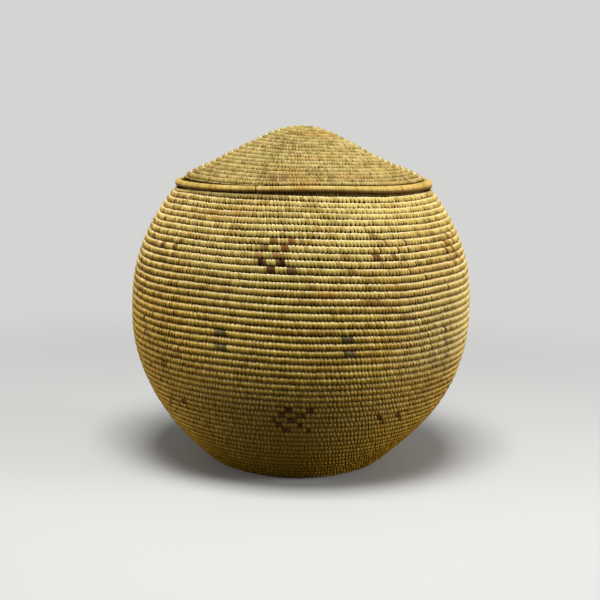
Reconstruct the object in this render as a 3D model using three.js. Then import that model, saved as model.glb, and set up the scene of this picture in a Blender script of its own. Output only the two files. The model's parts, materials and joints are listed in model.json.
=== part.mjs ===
import * as THREE from "three";

// A round lidded basket in coiled grass work. A thin bundle of grass is wound round and round,
// from the middle of the base up to the mouth, and every round is sewn to the one before it.
// The lid is a second coil, wound outwards from its peak, with a thicker edge and an inner collar.
// Millimetres, +Z up, origin at the middle of the underside.

// The coil
const courseHeight = 5.05;
const wallThickness = 5;
const grooveDepth = 1.1;
const crownFlatShare = 0.48;
const seamGap = 0.3;
const startTurns = 1.5;
const tipShare = 0.2;
const stepsPerTurn = 30;
const footFlatShare = 0.56;

// The body's outline
const baseRadius = 63.8;
const heelSlope = 38.2;
const heelRadius = 9;
const heelFullness = 0.29;
const bellyRadius = 127.8;
const bellyHeight = 116.9;
const lowerFullness = 0.49;
const upperFullness = 0.25;
const mouthRadius = 95.4;
const mouthHeight = 209.8;
const shoulderSlope = 50.8;
const shoulderFullness = 0.55;

// The lid's outline
const lidOverhang = 0.6;
const lidRise = 41.6;
const lidPeakWidth = 19.5;
const lidEdgeSlope = 25.5;
const lidSlopeLength = 54;
const edgeCoilRadius = 3.3;
const edgeCoilSides = 8;

// The collar inside the lid, which keeps it on the mouth
const collarTurns = 2;
const collarClearance = 1.5;

// Where the rounds end: past its high point the last round of the body thins out over half a turn,
// round the back, so that the mouth stays nearly level. The lid's edge closes at the front, a
// little to the left.
const mouthTaperTurns = 0.5;
const bodyHighPoint = THREE.MathUtils.degToRad(-72);
const lidSeam = THREE.MathUtils.degToRad(-108);

// How the coil is sewn up in runs, counted in courses from the middle of the base or of the lid
const baseCourses = 11.5;
const heelCourses = 9.5;
const bandCourses = 9.5;
const mouthCourses = 2;
const lidCrownCourses = 9.5;

const straw = new THREE.MeshStandardMaterial({ color: 0xcdb469, roughness: 0.62, metalness: 0 });
const paleStraw = new THREE.MeshStandardMaterial({ color: 0xd9c47e, roughness: 0.6, metalness: 0 });
const darkStraw = new THREE.MeshStandardMaterial({ color: 0xa88c46, roughness: 0.7, metalness: 0 });

const fullTurn = 2 * Math.PI;
const radians = THREE.MathUtils.degToRad;

// An outline is a path in the half plane of radius and height. side says on which hand of the
// path the outer surface lies: -1 on the right hand, +1 on the left.
function outline(curves, side) {
  const path = new THREE.CurvePath();
  curves.forEach((curve) => path.add(curve));
  const length = path.getLength();
  const nearby = 0.01;
  return {
    length,
    at(distance, depth) {
      const here = THREE.MathUtils.clamp(distance, nearby, length - nearby);
      const before = path.getPoint((here - nearby) / length);
      const after = path.getPoint((here + nearby) / length);
      const along = after.clone().sub(before).normalize();
      const point = path.getPoint(THREE.MathUtils.clamp(distance / length, 0, 1));
      return new THREE.Vector2(point.x + side * along.y * depth, point.y - side * along.x * depth);
    },
  };
}

function bodyOutline() {
  const slope = radians(heelSlope);
  const flat = baseRadius - heelRadius * Math.tan(slope / 2);
  const heelCentre = new THREE.Vector2(flat, heelRadius);
  const heelEnd = new THREE.Vector2(
    heelCentre.x + heelRadius * Math.sin(slope),
    heelCentre.y - heelRadius * Math.cos(slope),
  );
  const heelReach = heelFullness * bellyHeight;
  const shoulderReach = shoulderFullness * (mouthHeight - bellyHeight);
  const shoulder = radians(shoulderSlope);
  return outline([
    new THREE.LineCurve(new THREE.Vector2(0, 0), new THREE.Vector2(flat, 0)),
    new THREE.EllipseCurve(
      heelCentre.x, heelCentre.y, heelRadius, heelRadius, -Math.PI / 2, slope - Math.PI / 2,
    ),
    new THREE.CubicBezierCurve(
      heelEnd,
      new THREE.Vector2(heelEnd.x + heelReach * Math.cos(slope), heelEnd.y + heelReach * Math.sin(slope)),
      new THREE.Vector2(bellyRadius, bellyHeight * (1 - lowerFullness)),
      new THREE.Vector2(bellyRadius, bellyHeight),
    ),
    new THREE.CubicBezierCurve(
      new THREE.Vector2(bellyRadius, bellyHeight),
      new THREE.Vector2(bellyRadius, bellyHeight + upperFullness * (mouthHeight - bellyHeight)),
      new THREE.Vector2(
        mouthRadius + shoulderReach * Math.cos(shoulder),
        mouthHeight - shoulderReach * Math.sin(shoulder),
      ),
      new THREE.Vector2(mouthRadius, mouthHeight),
    ),
  ], -1);
}

// The lid's edge coil rests on the body's last round, and the lid's slope ends against it.
function lidEdgeCentre(body) {
  const rim = body.at(body.length, grooveDepth);
  const radius = mouthRadius + lidOverhang - edgeCoilRadius;
  const reach = edgeCoilRadius + seamGap;
  return new THREE.Vector2(radius, rim.y + Math.sqrt(reach ** 2 - (rim.x - radius) ** 2));
}

function lidOutline(edge) {
  const slope = radians(lidEdgeSlope);
  const down = new THREE.Vector2(Math.cos(slope), -Math.sin(slope));
  const outward = new THREE.Vector2(Math.sin(slope), Math.cos(slope));
  const end = edge.clone()
    .addScaledVector(down, -(edgeCoilRadius + seamGap))
    .addScaledVector(outward, wallThickness / 2);
  const peak = new THREE.Vector2(0, edge.y + lidRise);
  return outline([
    new THREE.CubicBezierCurve(
      peak,
      new THREE.Vector2(lidPeakWidth, peak.y),
      end.clone().addScaledVector(down, -lidSlopeLength),
      end,
    ),
  ], 1);
}

// The collar stands inside the mouth, under the edge coil.
function collarOutline(body, edge) {
  const mouthInside = body.at(body.length, wallThickness);
  const radius = mouthInside.x - collarClearance;
  const across = edge.x - (radius - wallThickness / 2);
  const reach = edgeCoilRadius + wallThickness / 2 + seamGap;
  const top = edge.y - Math.sqrt(reach ** 2 - across ** 2) + wallThickness / 2;
  const start = new THREE.Vector2(radius, top + courseHeight * (1 - tipShare));
  const end = new THREE.Vector2(radius, top - courseHeight * (collarTurns + 1));
  return outline([new THREE.LineCurve(start, end)], 1);
}

// A mesh from its points and its triangles, with the faces turned outwards
function closedMesh(name, material, points, triangles) {
  let volume = 0;
  for (const [a, b, c] of triangles) {
    volume += points[a].dot(points[b].clone().cross(points[c]));
  }
  const turned = volume > 0 ? triangles : triangles.map(([a, b, c]) => [a, c, b]);
  const geometry = new THREE.BufferGeometry();
  geometry.setAttribute("position", new THREE.Float32BufferAttribute(points.flatMap((p) => p.toArray()), 3));
  geometry.setIndex(turned.flat());
  geometry.computeVertexNormals();
  const mesh = new THREE.Mesh(geometry, material);
  mesh.name = name;
  return mesh;
}

function aroundAxis(point, angle) {
  return new THREE.Vector3(point.x * Math.cos(angle), point.x * Math.sin(angle), point.y);
}

// The angle by which a seam face steps back, so that two runs keep half the gap each
function seamAngle(radius) {
  return seamGap / 2 / Math.max(radius, seamGap);
}

// Where the two lines of a round's back lie between its grooves, for the share that is flat
const crownLines = (flatShare) => [0.5 - flatShare / 2, 0.5 + flatShare / 2];

// One run of the coil, as one closed shell. Along the turn count the grooves lie at w, w + 1,
// w + 2 and so on, so that the top groove of one round is the bottom groove of the next.
// levelStart and taperEnd are the turns over which the first round grows from a thin tip and
// the last one thins out to a tip.
function coilRun({ name, material, form, angleAt, from, to, crown, levelStart, taperEnd }) {
  const steps = Math.round((to - from) * stepsPerTurn);
  const sense = Math.sign(angleAt(1) - angleAt(0));
  const thinning = courseHeight * (1 - tipShare);
  const points = [];
  const triangles = [];

  function distanceAt(step) {
    const sinceStart = step / stepsPerTurn;
    const beforeEnd = to + 1 - from - sinceStart;
    let distance = courseHeight * (from + sinceStart);
    if (levelStart > 0) distance += thinning * Math.max(0, 1 - sinceStart / levelStart);
    else if (step <= stepsPerTurn) distance += seamGap / 2;
    if (taperEnd > 0) distance -= thinning * Math.max(0, 1 - beforeEnd / taperEnd);
    else if (step >= steps) distance -= seamGap / 2;
    return distance;
  }

  function place(step, distance, depth) {
    const point = form.at(distance, depth);
    let angle = angleAt(from + step / stepsPerTurn);
    if (step === 0 || step === stepsPerTurn) angle += sense * seamAngle(point.x);
    if (step === steps || step === steps + stepsPerTurn) angle -= sense * seamAngle(point.x);
    points.push(aroundAxis(point, angle));
    return points.length - 1;
  }

  const groove = [];
  const inside = [];
  for (let step = 0; step <= steps + stepsPerTurn; step += 1) {
    groove.push(place(step, distanceAt(step), grooveDepth));
    inside.push(place(step, distanceAt(step), wallThickness - grooveDepth));
  }
  function backLine(share, depth, inward) {
    const line = [];
    for (let step = 0; step <= steps; step += 1) {
      const low = distanceAt(step);
      const height = distanceAt(step + stepsPerTurn) - low;
      const sunk = grooveDepth * Math.max(0, 1 - height / (courseHeight - seamGap));
      line.push(place(step, low + share * height, depth + inward * sunk));
    }
    return line;
  }
  const crests = crown.map((share) => backLine(share, 0, 1));
  const innerCrest = backLine(0.5, wallThickness, -1);

  const quad = (a, b, c, d) => triangles.push([a, b, c], [a, c, d]);
  const above = stepsPerTurn;
  for (let step = 0; step < steps; step += 1) {
    const lines = [groove, ...crests];
    for (let row = 0; row + 1 < lines.length; row += 1) {
      quad(lines[row][step], lines[row][step + 1], lines[row + 1][step + 1], lines[row + 1][step]);
    }
    const top = lines[lines.length - 1];
    quad(top[step], top[step + 1], groove[step + above + 1], groove[step + above]);
    quad(inside[step], innerCrest[step], innerCrest[step + 1], inside[step + 1]);
    quad(innerCrest[step], inside[step + above], inside[step + above + 1], innerCrest[step + 1]);
  }
  for (let step = 0; step < stepsPerTurn; step += 1) {
    const top = steps + step;
    quad(groove[step], inside[step], inside[step + 1], groove[step + 1]);
    quad(groove[top], groove[top + 1], inside[top + 1], inside[top]);
  }
  for (const [step, opening] of [[0, true], [steps, false]]) {
    const rim = [groove[step], ...crests.map((crest) => crest[step]), groove[step + above]];
    rim.push(inside[step + above], innerCrest[step]);
    for (let side = 0; side + 1 < rim.length; side += 1) {
      const [first, second] = opening ? [rim[side], rim[side + 1]] : [rim[side + 1], rim[side]];
      triangles.push([inside[step], first, second]);
    }
  }
  return closedMesh(name, material, points, triangles);
}

// The tight curl that a coil starts from: a flat button with the spiral's own step in its rim
function startKnot({ name, material, form, angleAt, turns, sunk }) {
  const points = [];
  const triangles = [];
  const sense = Math.sign(angleAt(1) - angleAt(0));
  const add = (distance, depth, angle) => {
    points.push(aroundAxis(form.at(distance, depth), angle));
    return points.length - 1;
  };
  const outerMiddle = add(0, sunk, 0);
  const innerMiddle = add(0, wallThickness - sunk, 0);
  const groove = [];
  const inside = [];
  for (let step = 0; step <= stepsPerTurn; step += 1) {
    const turn = turns + step / stepsPerTurn;
    const distance = courseHeight * turn - seamGap / 2;
    const atStep = step === 0 || step === stepsPerTurn;
    const angle = angleAt(turn) - (atStep ? sense * seamAngle(distance) : 0);
    groove.push(add(distance, grooveDepth, angle));
    inside.push(add(distance, wallThickness - grooveDepth, angle));
  }
  for (let step = 0; step < stepsPerTurn; step += 1) {
    const last = step === stepsPerTurn - 1;
    const outerNext = last ? groove[0] : groove[step + 1];
    const innerNext = last ? inside[0] : inside[step + 1];
    triangles.push([outerMiddle, groove[step], outerNext]);
    triangles.push([innerMiddle, innerNext, inside[step]]);
    triangles.push([groove[step], inside[step], inside[step + 1]]);
    triangles.push([groove[step], inside[step + 1], groove[step + 1]]);
  }
  const end = stepsPerTurn;
  triangles.push([groove[0], groove[end - 1], groove[end]]);
  triangles.push([inside[0], inside[end], inside[end - 1]]);
  triangles.push([groove[end], inside[end], inside[0]]);
  triangles.push([groove[end], inside[0], groove[0]]);
  return closedMesh(name, material, points, triangles);
}

// The lid's edge: one thicker round whose two ends meet at the seam
function edgeCoil(name, material, edge) {
  const points = [];
  const triangles = [];
  const half = seamAngle(edge.x);
  for (let step = 0; step <= stepsPerTurn; step += 1) {
    const share = step / stepsPerTurn;
    const angle = lidSeam + fullTurn * share + half * (1 - 2 * share);
    for (let side = 0; side < edgeCoilSides; side += 1) {
      const turn = (fullTurn * side) / edgeCoilSides;
      const point = new THREE.Vector2(
        edge.x + edgeCoilRadius * Math.cos(turn),
        edge.y + edgeCoilRadius * Math.sin(turn),
      );
      points.push(aroundAxis(point, angle));
    }
  }
  for (let step = 0; step < stepsPerTurn; step += 1) {
    for (let side = 0; side < edgeCoilSides; side += 1) {
      const next = (side + 1) % edgeCoilSides;
      const low = step * edgeCoilSides;
      const high = low + edgeCoilSides;
      triangles.push([low + side, high + side, high + next], [low + side, high + next, low + next]);
    }
  }
  const last = stepsPerTurn * edgeCoilSides;
  for (let side = 1; side + 1 < edgeCoilSides; side += 1) {
    triangles.push([0, side, side + 1], [last, last + side + 1, last + side]);
  }
  return closedMesh(name, material, points, triangles);
}

const wall = bodyOutline();
const edge = lidEdgeCentre(wall);
const lidSurface = lidOutline(edge);
const collar = collarOutline(wall, edge);

// The body climbs clockwise and the lid runs down anticlockwise, both seen from above.
const bodyHighTurn = wall.length / courseHeight;
const bodyAngle = (turn) => bodyHighPoint - fullTurn * (turn - bodyHighTurn);
const lidEndTurn = lidSurface.length / courseHeight - tipShare;
const lidAngle = (turn) => lidSeam + fullTurn * (turn - lidEndTurn);
const collarAngle = (turn) => lidSeam + fullTurn * turn;

const wallEndTurn = bodyHighTurn - 1 + mouthTaperTurns;

// A turn count near the one given, a whole number of steps before the end of its coil
function onStep(turn, end) {
  return end - Math.round((end - turn) * stepsPerTurn) / stepsPerTurn;
}

// The runs of a coil, one after another. Each entry of runs is a name, a material, the turn at
// which the run ends and what else is its own.
function coilOfRuns({ form, angleAt, knot, knotMaterial, runs, end }) {
  const group = new THREE.Group();
  let from = onStep(startTurns, end);
  group.add(startKnot({
    name: knot, material: knotMaterial, form, angleAt, turns: from, sunk: grooveDepth / 2,
  }));
  for (const [name, material, ending, own] of runs) {
    const to = onStep(ending, end);
    group.add(coilRun({
      name, material, form, angleAt, from, to, levelStart: 0, taperEnd: 0,
      crown: crownLines(crownFlatShare), ...own,
    }));
    from = to;
  }
  return group;
}

// The base stands on its underside, where the crests are worn and pressed flat.
const bandEnd = (bands) => baseCourses + heelCourses + bands * bandCourses;

const body = coilOfRuns({
  form: wall,
  angleAt: bodyAngle,
  knot: "base_start_knot",
  knotMaterial: darkStraw,
  end: wallEndTurn,
  runs: [
    ["base_coil", darkStraw, baseCourses, { crown: crownLines(footFlatShare) }],
    ["heel_coil", darkStraw, bandEnd(0)],
    ["lower_wall_coil", straw, bandEnd(1)],
    ["belly_coil", straw, bandEnd(2)],
    ["upper_wall_coil", straw, bandEnd(3)],
    ["shoulder_coil", straw, wallEndTurn - mouthCourses],
    ["mouth_coil", paleStraw, wallEndTurn, { taperEnd: mouthTaperTurns }],
  ],
});

const lid = coilOfRuns({
  form: lidSurface,
  angleAt: lidAngle,
  knot: "lid_start_knot",
  knotMaterial: straw,
  end: lidEndTurn,
  runs: [
    ["lid_crown_coil", straw, lidCrownCourses],
    ["lid_slope_coil", straw, lidEndTurn, { taperEnd: 1 }],
  ],
});
lid.add(edgeCoil("lid_edge_coil", paleStraw, edge));
lid.add(coilRun({
  name: "lid_collar_coil",
  material: paleStraw,
  form: collar,
  angleAt: collarAngle,
  from: 0,
  to: collarTurns,
  crown: crownLines(crownFlatShare),
  levelStart: 1,
  taperEnd: mouthTaperTurns,
}));

const basket = new THREE.Group();
basket.add(body, lid);

export default basket;
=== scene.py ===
# %% [markdown]
# A round lidded basket in coiled grass work
#
# A coiled basket has no weave. A bundle of grass, half a centimetre thick, is wound round and
# round, and every round is sewn to the round under it with a flat strand of pale grass. So the
# whole surface is stitches: some 13,500 of them on the body alone. Some were made with dyed
# strands, and those are the small broken chevrons.
#
# The CAD model has the right outline, spiral and thickness, but smooth rounds. This script loads
# it as a fixed frame and makes one sewn coil for each of its runs, so that every stitch is real.

import json
import math

import bpy
import numpy as np
from mathutils import Matrix

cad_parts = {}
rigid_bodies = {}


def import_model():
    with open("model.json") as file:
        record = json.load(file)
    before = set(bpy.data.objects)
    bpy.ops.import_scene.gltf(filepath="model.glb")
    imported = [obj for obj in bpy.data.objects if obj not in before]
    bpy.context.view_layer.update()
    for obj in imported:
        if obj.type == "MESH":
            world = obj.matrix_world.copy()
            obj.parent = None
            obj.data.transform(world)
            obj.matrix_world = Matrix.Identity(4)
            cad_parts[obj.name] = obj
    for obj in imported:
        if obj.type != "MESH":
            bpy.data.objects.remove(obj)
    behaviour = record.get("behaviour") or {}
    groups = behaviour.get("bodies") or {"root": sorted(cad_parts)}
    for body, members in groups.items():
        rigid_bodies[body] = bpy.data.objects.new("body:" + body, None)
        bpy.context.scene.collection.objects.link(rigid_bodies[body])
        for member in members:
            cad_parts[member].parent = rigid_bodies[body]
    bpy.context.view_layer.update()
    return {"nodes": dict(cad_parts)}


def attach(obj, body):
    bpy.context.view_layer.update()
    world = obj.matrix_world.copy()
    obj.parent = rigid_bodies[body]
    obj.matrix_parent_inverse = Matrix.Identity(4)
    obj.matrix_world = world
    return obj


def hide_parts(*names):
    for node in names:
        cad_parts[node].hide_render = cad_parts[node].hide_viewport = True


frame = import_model()
bpy.ops.object.select_all(action="DESELECT")
MM = 0.001
print("CAD nodes:", ", ".join(sorted(frame["nodes"])))

# %% [markdown]
# The camera stands where the photographer stood: a little under a metre away, slightly above
# the belly and looking down by nine degrees. The basket leans by a degree and a half in the
# picture, so the camera is rolled by that much and the basket itself stands straight.

# %% Camera
CAMERA_PLACE = (0, -0.964, 0.271)
LOOK_DOWN, ROLL = math.radians(8.8), math.radians(1.5)
LENS, SENSOR = 76.8, 36
# In pixels: how wide the photograph is, and how far its middle is from the lens's axis
PICTURE_WIDTH, OFF_AXIS = 600, -0.8

turned = Matrix.Rotation(math.pi / 2 - LOOK_DOWN, 4, "X") @ Matrix.Rotation(ROLL, 4, "Z")
bpy.ops.object.camera_add(location=CAMERA_PLACE, rotation=turned.to_euler())
camera = bpy.context.object
camera.data.lens = LENS
camera.data.sensor_width = SENSOR
camera.data.shift_x = OFF_AXIS / PICTURE_WIDTH
camera.data.clip_start = 0.05
bpy.context.scene.camera = camera
bpy.context.scene.view_settings.view_transform = "Standard"
print("camera at", tuple(round(c, 3) for c in camera.location))

# %% [markdown]
# The outlines
#
# Body and lid are both turned shapes, so each is one curve in the half plane of radius and
# height. A point of the surface is named by its distance along that curve and its depth under
# it. Then the coil can be laid out flat, as courses of equal height one above the other, and
# the curve bends it into shape. The numbers are those of the CAD model, in millimetres.

# %% Curves in the half plane
def bezier(start, pull, push, end, steps=900):
    """A curve that leaves start towards pull and comes to end from push."""
    t = np.linspace(0, 1, steps)[:, None]
    start, pull, push, end = (np.asarray(p, float) for p in (start, pull, push, end))
    return (1 - t) ** 3 * start + 3 * (1 - t) ** 2 * t * pull + 3 * (1 - t) * t**2 * push + t**3 * end


class Outline:
    """A curve of (radius, height). side is -1 where the outer surface is on its right, else +1."""

    def __init__(self, pieces, side):
        points = np.vstack([pieces[0]] + [piece[1:] for piece in pieces[1:]])
        self.points = points
        self.distance = np.r_[0, np.cumsum(np.hypot(*np.diff(points, axis=0).T))]
        along = np.gradient(points, self.distance, axis=0)
        along /= np.hypot(*along.T)[:, None]
        self.outwards = np.c_[-along[:, 1], along[:, 0]] * side
        self.length = self.distance[-1]

    def at(self, distance, depth):
        radius, height = (np.interp(distance, self.distance, c) for c in self.points.T)
        out_r, out_z = (np.interp(distance, self.distance, c) for c in self.outwards.T)
        return radius - depth * out_r, height - depth * out_z


def straight(start, end, steps=200):
    t = np.linspace(0, 1, steps)[:, None]
    return np.asarray(start, float) * (1 - t) + np.asarray(end, float) * t


# %% The outline of the body
COURSE, WALL, GROOVE = 5.05, 5.0, 1.1
# A coil thins out to this share of a course at its two ends
TIP_SHARE = 0.2
THINNING = COURSE * (1 - TIP_SHARE)

BASE_RADIUS, HEEL_RADIUS, HEEL_SLOPE = 63.8, 9, math.radians(38.2)
BELLY_RADIUS, BELLY_HEIGHT = 127.8, 116.9
MOUTH_RADIUS, MOUTH_HEIGHT, SHOULDER_SLOPE = 95.4, 209.8, math.radians(50.8)
# The handles of the wall's two curves, as shares of the height that each curve spans
HEEL_HANDLE, UNDER_BELLY, OVER_BELLY, MOUTH_HANDLE = 0.29, 0.51, 0.25, 0.55

flat = BASE_RADIUS - HEEL_RADIUS * math.tan(HEEL_SLOPE / 2)
turn = np.linspace(-math.pi / 2, HEEL_SLOPE - math.pi / 2, 120)
heel = np.c_[flat + HEEL_RADIUS * np.cos(turn), HEEL_RADIUS + HEEL_RADIUS * np.sin(turn)]
upper_height = MOUTH_HEIGHT - BELLY_HEIGHT
low_reach = HEEL_HANDLE * BELLY_HEIGHT * np.array([math.cos(HEEL_SLOPE), math.sin(HEEL_SLOPE)])
high_reach = MOUTH_HANDLE * upper_height
high_reach *= np.array([math.cos(SHOULDER_SLOPE), -math.sin(SHOULDER_SLOPE)])
belly, mouth = np.array([BELLY_RADIUS, BELLY_HEIGHT]), np.array([MOUTH_RADIUS, MOUTH_HEIGHT])
wall = Outline([
    straight((0, 0), (flat, 0)),
    heel,
    bezier(heel[-1], heel[-1] + low_reach, (BELLY_RADIUS, BELLY_HEIGHT * UNDER_BELLY), belly),
    bezier(belly, belly + (0, OVER_BELLY * upper_height), mouth + high_reach, mouth),
], side=-1)
print(f"body: {wall.length:.1f} mm from the middle of the base to the mouth,"
      f" {wall.length / COURSE:.2f} courses")

# %% The outlines of the lid and of its collar
SEAM_GAP = 0.3
EDGE_RADIUS, EDGE_OVERHANG = 3.3, 0.6
LID_RISE, LID_SLOPE = 41.6, math.radians(25.5)
PEAK_HANDLE, SLOPE_HANDLE = 19.5, 54
COLLAR_PLAY, COLLAR_ROUNDS = 1.5, 2

rim_radius, rim_height = wall.at(wall.length, GROOVE)
edge_radius = MOUTH_RADIUS + EDGE_OVERHANG - EDGE_RADIUS
edge_reach = EDGE_RADIUS + SEAM_GAP
edge_height = rim_height + math.sqrt(edge_reach**2 - (rim_radius - edge_radius) ** 2)
edge_centre = np.array([edge_radius, edge_height])
down_slope = np.array([math.cos(LID_SLOPE), -math.sin(LID_SLOPE)])
lid_end = edge_centre - edge_reach * down_slope
lid_end = lid_end + WALL / 2 * np.array([math.sin(LID_SLOPE), math.cos(LID_SLOPE)])
peak = np.array([0, edge_height + LID_RISE])
slope = bezier(peak, peak + (PEAK_HANDLE, 0), lid_end - SLOPE_HANDLE * down_slope, lid_end, 1800)
lid_curve = Outline([slope], side=1)

collar_radius = wall.at(wall.length, WALL)[0] - COLLAR_PLAY
across = edge_radius - (collar_radius - WALL / 2)
collar_top = edge_height - math.sqrt((EDGE_RADIUS + WALL / 2 + SEAM_GAP) ** 2 - across**2) + WALL / 2
collar_foot = collar_top - (COLLAR_ROUNDS + 1) * COURSE
collar_line = straight((collar_radius, collar_top + THINNING), (collar_radius, collar_foot))
collar_curve = Outline([collar_line], side=1)
print(f"lid: {lid_curve.length:.1f} mm from its peak to its edge, which is {edge_height:.1f} mm up")

# %% [markdown]
# The spirals
#
# One number says where we are along a coil: how many turns lie behind us. On turn w the lower
# side of the coil is w courses from the middle and its upper side is one course more. The body
# climbs clockwise, seen from above, and the lid runs down the other way, as in the photograph.
# Where a coil starts or ends it thins out to a tip, so these are functions and not one line.

# %% Where the coils run
HIGH_TURN = wall.length / COURSE
TAPER = 0.5
BODY_END = HIGH_TURN - TAPER
CAD_LID_END = lid_curve.length / COURSE - TIP_SHARE
LID_END = CAD_LID_END + 1
LID_COURSE = lid_curve.length / (LID_END + TIP_SHARE)
BODY_HIGH_ANGLE, LID_SEAM_ANGLE = -72, -108
STEPS_PER_TURN = 30
# Both coils start as a tip, most of a turn before the first whole round
COIL_START = -0.92
# The maker's rounds are not all alike. This is how much higher than even ones the body's sit, in
# courses: turn count, height
UNEVEN_ROUNDS = [
    (0, 0), (10, 0.6), (24, 0.75), (29, 0.35), (33, 0.05), (40, 0), (50, 0.1), (55, 0.1), (59, 0),
]


def body_angle(w):
    return np.radians(BODY_HIGH_ANGLE - 360 * (w - HIGH_TURN))


def lid_angle(w):
    return np.radians(LID_SEAM_ANGLE + 360 * (w - LID_END))


def collar_angle(w):
    return np.radians(LID_SEAM_ANGLE + 360 * w)


def thinned(w, end, over):
    return THINNING * np.clip(1 - (end - w) / over, 0, 1)


def body_groove(w):
    """The distance of the body's groove w from the middle of the base, in courses."""
    return np.maximum(w, 0) + np.interp(w, *zip(*UNEVEN_ROUNDS))


def body_sides(w):
    return COURSE * body_groove(w), COURSE * body_groove(w + 1) - thinned(w, BODY_END, TAPER)


def lid_sides(w):
    """The lid's rounds are a little thinner than the CAD model's, so it has one round more."""
    return LID_COURSE * np.maximum(w, 0), LID_COURSE * (w + 1) - thinned(w, LID_END, 1)


def collar_sides(w):
    low = COURSE * w + THINNING * np.clip(1 - w, 0, 1)
    return low, COURSE * (w + 1) - thinned(w, COLLAR_ROUNDS, TAPER)


def on_step(w, end):
    """The turn count at which the CAD model cuts its coil, near w."""
    return end - round((end - w) * STEPS_PER_TURN) / STEPS_PER_TURN


print(f"the body's rim is highest after {HIGH_TURN:.2f} turns, the lid has {LID_END:.2f}")


# %% [markdown]
# Nothing hand-made is even. Three kinds of unevenness matter here. Slow waves make the courses
# wander and the wall swell and dent, and they are the same for neighbouring courses, because
# each round follows the one below. The coil itself is thicker here and thinner there. And
# every stitch has its own width, slant and tightness. Sums of sine waves give the first two:
# whole numbers of waves round the axis close up without a seam.

# %% Slow waves
def evened(total, count):
    """Brings a sum of count sine waves to about -1 to 1."""
    return total / math.sqrt(count / 2) / 1.6


def waves(seed, count, round_most, rise_most):
    """A smooth uneven field over the surface, about -1 to 1, from its angle and distance."""
    draw = np.random.default_rng(seed)
    rounds = draw.integers(1, round_most + 1, count)
    rises = draw.uniform(-rise_most, rise_most, count)
    starts = draw.uniform(0, 2 * math.pi, count)

    def field(angle, distance):
        each = zip(rounds, rises, starts)
        return evened(sum(np.sin(m * angle + k * distance + p) for m, k, p in each), count)

    return field


def strand_waves(seed, count, shortest, longest):
    """The same along a coil, from the stitch number. The wavelengths are in stitches."""
    draw = np.random.default_rng(seed)
    rates = 2 * math.pi / draw.uniform(shortest, longest, count)
    starts = draw.uniform(0, 2 * math.pi, count)

    def field(number):
        return evened(sum(np.sin(k * number + p) for k, p in zip(rates, starts)), count)

    return field


# %% [markdown]
# Some of the unevenness has a place. The body has been pushed in low on the right and high on the
# left, its courses have settled, and under the lid the rim has been pressed down in front. These
# are in millimetres, each a smooth bell round one angle and, where it matters, one distance.

# %% Where the basket has sagged
def bell(value, centre, width):
    """1 at centre, falling smoothly to 0 some two widths to either side."""
    return np.exp(-(((value - centre) / width) ** 2))


def near(angle, centre, width):
    """The same round the axis: the angle in radians, its centre and width in degrees."""
    return bell(np.degrees(np.angle(np.exp(1j * (angle - math.radians(centre))))), 0, width)


def ramp(value, start, length):
    """0 up to start, then rising evenly to 1 over that length."""
    return np.clip((value - start) / length, 0, 1)


def sagged(angle, distance):
    """How far the old body has been pushed in."""
    low_right = 2.4 * near(angle, -22, 55) * bell(distance, 85, 42)
    high_left = 1.9 * near(angle, 180, 50) * bell(distance, 275, 55)
    return low_right + high_left


def settled(angle, distance):
    """How far the body's courses sit above their even places, along the outline."""
    high_up, at_rim = ramp(distance, 130, 60), ramp(distance, 265, 30)
    right = 2.0 * near(angle, -5, 40) * (1 - 0.4 * at_rim)
    left = -(0.7 + 0.9 * at_rim) * near(angle, -170, 38)
    front = -1.3 * near(angle, -54, 12) * bell(distance, 215, 45)
    under_lid = -1.9 * near(angle, -66, 38) * ramp(distance, 283, 12)
    return high_up * (right + left) + front + under_lid


def level(angle, distance):
    return np.zeros(np.broadcast(angle, distance).shape)


print(f"the wall is pushed in by {sagged(math.radians(-22), 85):.1f} mm at its low right")


# %% [markdown]
# The sewn coil
#
# It could be a curve with a bevel, or one stitch copied by an Array modifier along a curve. The
# first has no stitches and the second makes them all alike, and neither can be squeezed between
# its neighbours. So the tube is built point by point: four rings of points for each stitch, one
# in the valley beside it and three over its back, and nine points to a ring. The outer side gets
# six of them. In the valleys the ring is pulled in, most at its lower outer side, where the
# strand dives into the round below and leaves a dark slit. That is what makes coiled work look
# sewn and not ribbed. Two of the inner points are never pulled in: there each round touches the
# next, so that no light comes through the slits.

# %% Ring of a coil
RING = np.radians([-88, -56, -24, 8, 40, 70, 112, 180, 248])
TOUCHING = np.array([0, 0, 0, 0, 0, 0, 1, 0, 1])
SQUARENESS, TOUCHING_REACH = 2.6, 1.04
ring_up = np.sign(np.sin(RING)) * np.abs(np.sin(RING)) ** (2 / SQUARENESS)
ring_up = np.where(TOUCHING, TOUCHING_REACH * np.sign(ring_up), ring_up)
ring_out = np.sign(np.cos(RING)) * np.abs(np.cos(RING)) ** (2 / SQUARENESS)
ring_v = (np.degrees(RING) + 90) / 360

# Where the rings of a stitch are, as a share of its width, and how far each is out of the valley
STITCH_RINGS = (0, 0.18, 0.5, 0.82)
STITCH_RISE = (0, 0.80, 1, 0.80)


def bump_at(centre, width):
    """1 for ring points at centre degrees, falling to 0 at width degrees from there."""
    apart = np.abs(np.degrees(RING) - centre)
    return np.clip(1 - apart / width, 0, 1) ** 0.8 * (1 - TOUCHING)


LOW_SLIT, TOP_NOTCH = bump_at(-74, 60), bump_at(72, 45)
FRONT_SLIT, UNDERCUT = bump_at(24, 62), bump_at(-66, 40)
print(f"a stitch has {len(STITCH_RINGS)} rings of {len(RING)} points")


# %% Stitches along a coil
def by_rings(of_stitches):
    return np.repeat(of_stitches, len(STITCH_RINGS))


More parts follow.
